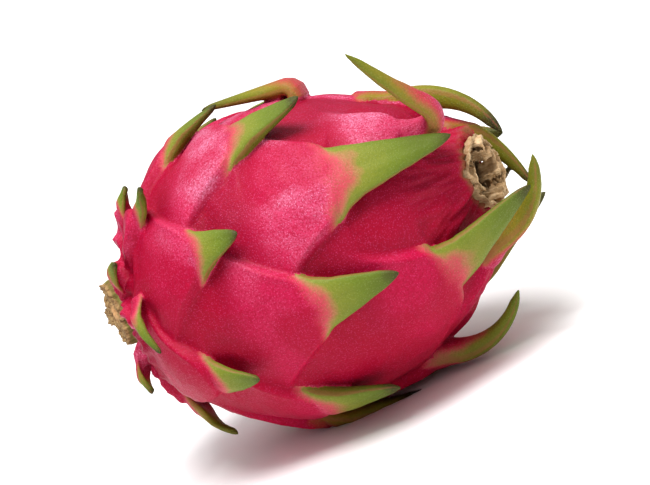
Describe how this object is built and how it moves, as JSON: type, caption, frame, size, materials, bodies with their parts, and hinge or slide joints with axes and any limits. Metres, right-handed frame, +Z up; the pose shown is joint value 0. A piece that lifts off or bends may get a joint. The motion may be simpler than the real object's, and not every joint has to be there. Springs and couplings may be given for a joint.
{
  "type": "dragon fruit",
  "caption": "Whole ripe dragon fruit lying on its belly, with leafy green-tipped scales, a withered flower at the tip and a cut stem stub.",
  "frame": {"origin": "on the surface the fruit lies on, under the middle of its bounding box", "axes": "+X along the fruit towards the withered flower, +Z up, -Y the side the picture shows most of"},
  "size_m": [0.1406, 0.0934, 0.1036],
  "materials": {
    "skin": "waxy magenta skin with a soft sheen, green towards the scales' tips",
    "dry_flower": "papery, crumpled, tan and matt",
    "woody_stem": "rough, corky, olive sides and a tan cut"
  },
  "bodies": {
    "root": {"fruit": "skin", "dried_flower": "dry_flower", "stem_stub": "woody_stem"}
  },
  "joints": []
}
